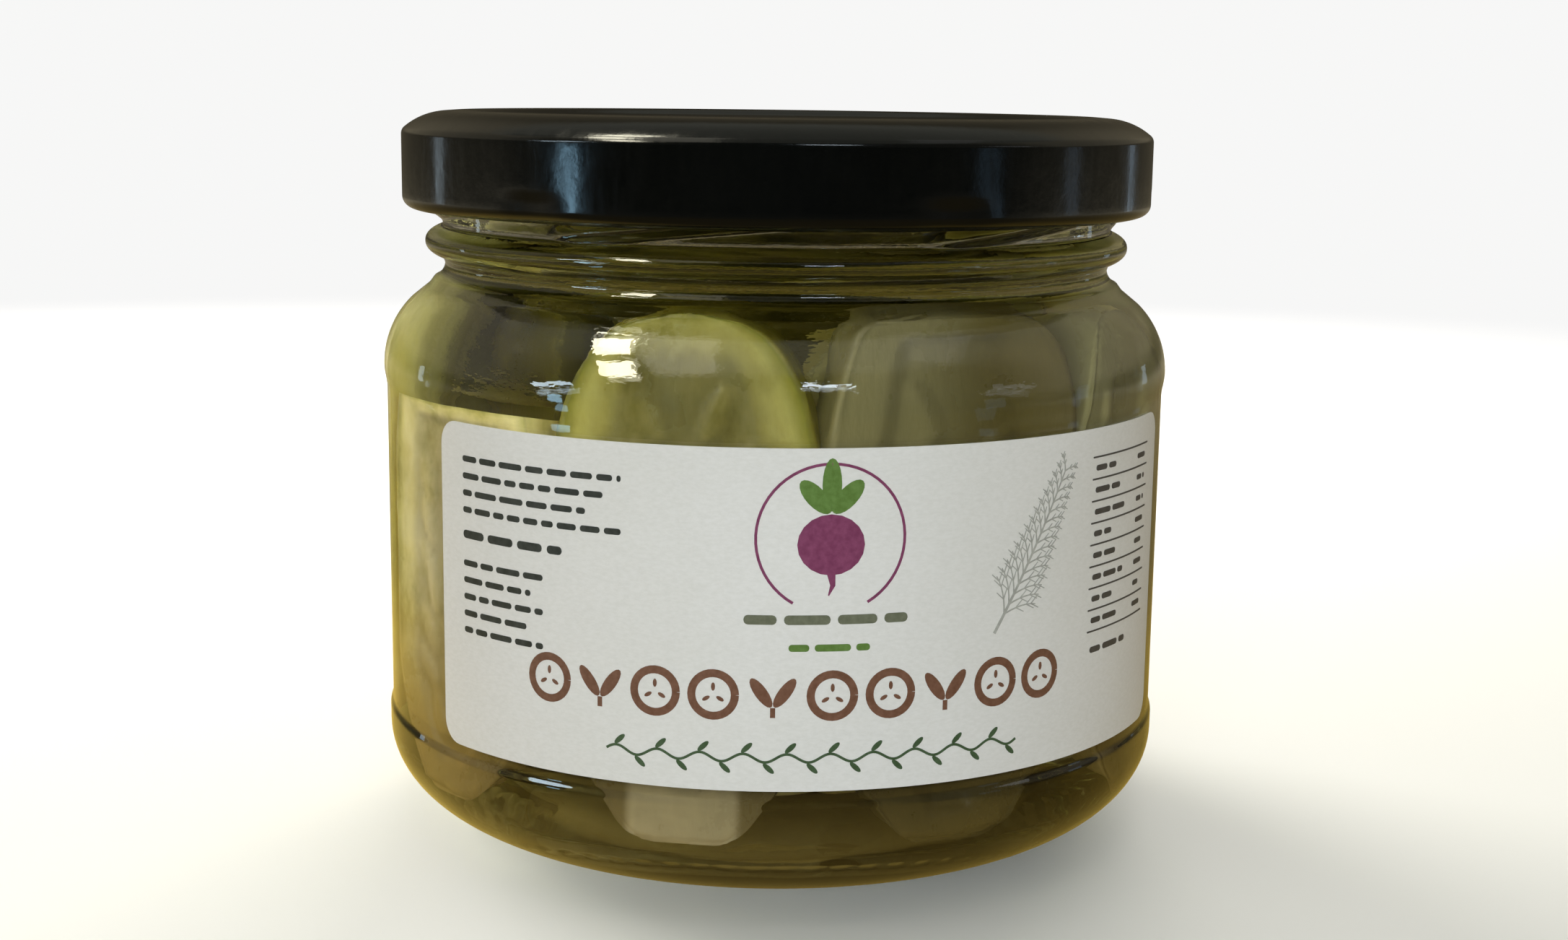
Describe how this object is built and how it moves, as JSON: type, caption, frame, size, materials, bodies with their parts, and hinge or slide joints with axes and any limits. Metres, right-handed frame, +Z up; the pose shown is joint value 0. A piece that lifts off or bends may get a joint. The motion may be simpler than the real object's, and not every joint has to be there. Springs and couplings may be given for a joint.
{
  "type": "pickle jar",
  "caption": "Shut wide-mouth glass jar of cut pickled cucumbers in brine, with a black twist-off metal lid and a curved paper wrap label.",
  "frame": {"origin": "centre of the base circle, at the level the jar stands on", "axes": "+Z up along the jar's axis, -Y out through the front of the label, +X to the right seen from the front"},
  "size_m": [0.0886, 0.0888, 0.0789],
  "materials": {
    "glass": "clear, gloss",
    "lid_lacquer": "gloss black lacquer on tinplate",
    "label_paper": "coated off-white paper, satin",
    "pickle_flesh": "wet, olive green"
  },
  "bodies": {
    "root": {"glass_jar": "glass", "lid": "lid_lacquer", "label": "label_paper", "pickles": "pickle_flesh"}
  },
  "joints": []
}
